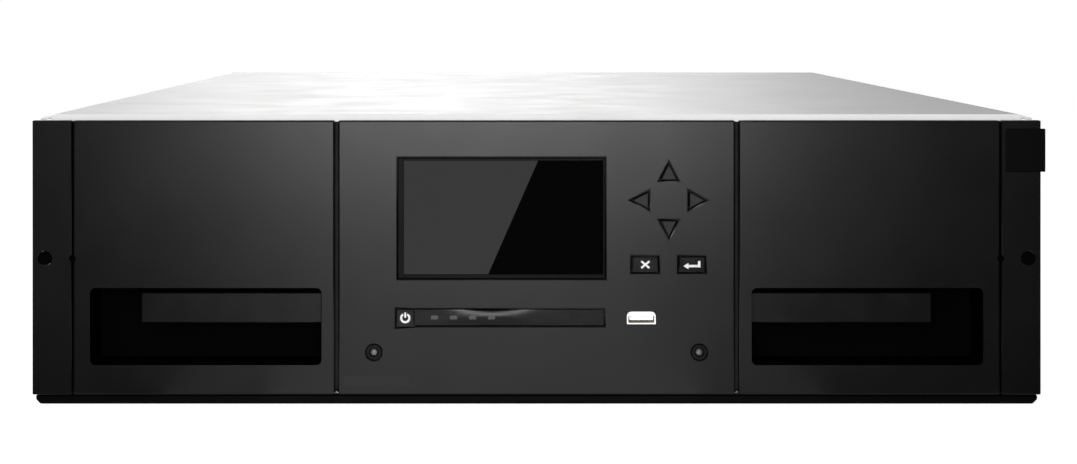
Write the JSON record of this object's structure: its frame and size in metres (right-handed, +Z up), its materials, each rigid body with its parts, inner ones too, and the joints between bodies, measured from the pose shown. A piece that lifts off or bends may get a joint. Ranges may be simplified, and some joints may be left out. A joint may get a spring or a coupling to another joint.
{
  "type": "data tape library",
  "caption": "Rack-style tape library with slide-out cartridge magazines, a travelling picker robot, stacked drives, a display with keys, and a table-top cover.",
  "frame": {"origin": "centre of the footprint, at the bottom of the plinth", "axes": "+X to the right as seen from the front, +Y from the front panel to the back, +Z up"},
  "size_m": [0.4789, 0.8746, 0.1369],
  "materials": {
    "cover_paint": "fine satin powder coat, light grey",
    "plinth_paint": "satin black",
    "chassis_steel": "zinc-plated sheet, matte",
    "frame_black": "satin black steel",
    "front_plastic": "fine-textured charcoal moulding",
    "magazine_plastic": "charcoal moulding",
    "cartridge_plastic": "dark cartridge shell",
    "display_dark": "glossy black display window",
    "led_dark": "smoked glossy light window",
    "badge_black": "plain black plate",
    "key_plastic": "charcoal key cap",
    "usb_white": "white insulator in a steel shell",
    "screw_steel": "zinc-plated",
    "board_green": "circuit board",
    "rod_steel": "ground steel",
    "motor_dark": "dark motor can",
    "aluminium": "milled",
    "module_case": "thin bright sheet, matte",
    "belt_rubber": "toothed belt",
    "picker_plastic": "light moulding",
    "reader_red": "red reader window",
    "fan_black": "black fan moulding"
  },
  "bodies": {
    "chassis": {"base_tray": "chassis_steel", "front_frame": "frame_black", "rear_panel": "chassis_steel", "bulkhead": "chassis_steel", "base_plinth": "plinth_paint", "top_cover": "cover_paint", "case_screws": "screw_steel", "left_ear_cap": "front_plastic", "right_ear_cap": "front_plastic", "center_bezel": "front_plastic", "panel_board": "board_green", "lcd_module": "display_dark", "led_window": "led_dark", "usb_port": "usb_white", "panel_screws": "screw_steel", "badge_plate": "badge_black", "magazine_rails": "chassis_steel", "guide_rods": "rod_steel", "y_belt": "belt_rubber", "y_motor": "motor_dark", "midplane_boards": "board_green", "rear_cage": "chassis_steel"},
    "left_magazine": {"left_magazine_tray": "magazine_plastic", "left_magazine_bezel": "front_plastic", "left_grip": "front_plastic", "left_cartridges": "cartridge_plastic"},
    "right_magazine": {"right_magazine_tray": "magazine_plastic", "right_magazine_bezel": "front_plastic", "right_grip": "front_plastic", "right_cartridges": "cartridge_plastic"},
    "picker_carriage": {"carriage": "aluminium", "lift_posts": "rod_steel", "lift_motor": "motor_dark"},
    "lead_screw": {"lead_screw": "rod_steel"},
    "lift": {"lift_platform": "aluminium", "turret_motor": "motor_dark"},
    "turret_wheel": {"turret_wheel": "belt_rubber"},
    "turret": {"turret_disc": "aluminium", "picker_guide": "picker_plastic", "barcode_reader": "reader_red"},
    "gripper": {"gripper_block": "motor_dark", "held_cartridge": "cartridge_plastic"},
    "left_finger": {"left_finger": "aluminium"},
    "right_finger": {"right_finger": "aluminium"},
    "y_drive_pulley": {"y_drive_pulley": "aluminium"},
    "y_idler_pulley": {"y_idler_pulley": "aluminium"},
    "drive_1": {"drive_1": "module_case"},
    "drive_2": {"drive_2": "module_case"},
    "drive_3": {"drive_3": "module_case"},
    "psu_1": {"psu_1": "module_case"},
    "psu_2": {"psu_2": "module_case"},
    "controller": {"controller": "module_case"},
    "rear_fan": {"rear_fan": "fan_black"},
    "up_key": {"up_key": "key_plastic"},
    "down_key": {"down_key": "key_plastic"},
    "left_key": {"left_key": "key_plastic"},
    "right_key": {"right_key": "key_plastic"},
    "cancel_key": {"cancel_key": "key_plastic"},
    "enter_key": {"enter_key": "key_plastic"},
    "power_button": {"power_button": "key_plastic"}
  },
  "joints": [
    {"name": "left_magazine_slide", "type": "slide", "parent": "chassis", "child": "left_magazine", "axis": [0, -1, 0], "range_m": [0, 0.56]},
    {"name": "right_magazine_slide", "type": "slide", "parent": "chassis", "child": "right_magazine", "axis": [0, -1, 0], "range_m": [0, 0.56]},
    {"name": "carriage_travel", "type": "slide", "parent": "chassis", "child": "picker_carriage", "axis": [0, 1, 0], "range_m": [0, 0.426]},
    {"name": "y_drive_pulley_turn", "type": "hinge", "parent": "chassis", "child": "y_drive_pulley", "pos_m": [0.088, 0.207, 0.131], "axis": [0, 0, 1], "continuous": true},
    {"name": "y_idler_pulley_turn", "type": "hinge", "parent": "chassis", "child": "y_idler_pulley", "pos_m": [0.088, -0.419, 0.131], "axis": [0, 0, 1], "continuous": true},
    {"name": "lift_travel", "type": "slide", "parent": "picker_carriage", "child": "lift", "axis": [0, 0, 1], "range_m": [0, 0.084]},
    {"name": "lead_screw_turn", "type": "hinge", "parent": "picker_carriage", "child": "lead_screw", "pos_m": [-0.048, -0.40725, 0.06], "axis": [0, 0, 1], "continuous": true},
    {"name": "turret_turn", "type": "hinge", "parent": "lift", "child": "turret", "pos_m": [0, -0.32325, 0.0142], "axis": [0, 0, 1], "range_deg": [-180, 0]},
    {"name": "turret_wheel_turn", "type": "hinge", "parent": "lift", "child": "turret_wheel", "pos_m": [0.052, -0.40725, 0.0142], "axis": [0, 0, 1], "continuous": true},
    {"name": "gripper_reach", "type": "slide", "parent": "turret", "child": "gripper", "axis": [-1, 0, 0], "range_m": [0, 0.1522]},
    {"name": "left_finger_swing", "type": "hinge", "parent": "gripper", "child": "left_finger", "pos_m": [0.0577, -0.37225, 0.027], "axis": [0, 0, 1], "range_deg": [0, 5]},
    {"name": "right_finger_swing", "type": "hinge", "parent": "gripper", "child": "right_finger", "pos_m": [0.0577, -0.27425, 0.027], "axis": [0, 0, 1], "range_deg": [-5, 0]},
    {"name": "drive_1_slide", "type": "slide", "parent": "chassis", "child": "drive_1", "axis": [0, 1, 0], "range_m": [0, 0.21]},
    {"name": "drive_2_slide", "type": "slide", "parent": "chassis", "child": "drive_2", "axis": [0, 1, 0], "range_m": [0, 0.21]},
    {"name": "drive_3_slide", "type": "slide", "parent": "chassis", "child": "drive_3", "axis": [0, 1, 0], "range_m": [0, 0.21]},
    {"name": "psu_1_slide", "type": "slide", "parent": "chassis", "child": "psu_1", "axis": [0, 1, 0], "range_m": [0, 0.19]},
    {"name": "psu_2_slide", "type": "slide", "parent": "chassis", "child": "psu_2", "axis": [0, 1, 0], "range_m": [0, 0.19]},
    {"name": "controller_slide", "type": "slide", "parent": "chassis", "child": "controller", "axis": [0, 1, 0], "range_m": [0, 0.15]},
    {"name": "rear_fan_spin", "type": "hinge", "parent": "chassis", "child": "rear_fan", "pos_m": [0.1535, 0.4145, 0.0957], "axis": [0, 1, 0], "continuous": true},
    {"name": "up_key_press", "type": "slide", "parent": "chassis", "child": "up_key", "axis": [0, 1, 0], "range_m": [0, 0.001], "stiffness_N_per_m": 200},
    {"name": "down_key_press", "type": "slide", "parent": "chassis", "child": "down_key", "axis": [0, 1, 0], "range_m": [0, 0.001], "stiffness_N_per_m": 200},
    {"name": "left_key_press", "type": "slide", "parent": "chassis", "child": "left_key", "axis": [0, 1, 0], "range_m": [0, 0.001], "stiffness_N_per_m": 200},
    {"name": "right_key_press", "type": "slide", "parent": "chassis", "child": "right_key", "axis": [0, 1, 0], "range_m": [0, 0.001], "stiffness_N_per_m": 200},
    {"name": "cancel_key_press", "type": "slide", "parent": "chassis", "child": "cancel_key", "axis": [0, 1, 0], "range_m": [0, 0.001], "stiffness_N_per_m": 200},
    {"name": "enter_key_press", "type": "slide", "parent": "chassis", "child": "enter_key", "axis": [0, 1, 0], "range_m": [0, 0.001], "stiffness_N_per_m": 200},
    {"name": "power_button_press", "type": "slide", "parent": "chassis", "child": "power_button", "axis": [0, 1, 0], "range_m": [0, 0.001], "stiffness_N_per_m": 200}
  ],
  "couplings": [
    {"joint": "y_drive_pulley_turn", "follows": "carriage_travel", "rad_per_m": -125},
    {"joint": "y_idler_pulley_turn", "follows": "carriage_travel", "rad_per_m": -125},
    {"joint": "lead_screw_turn", "follows": "lift_travel", "rad_per_m": 785.4},
    {"joint": "turret_wheel_turn", "follows": "turret_turn", "ratio": -6.8836},
    {"joint": "right_finger_swing", "follows": "left_finger_swing", "ratio": -1}
  ]
}
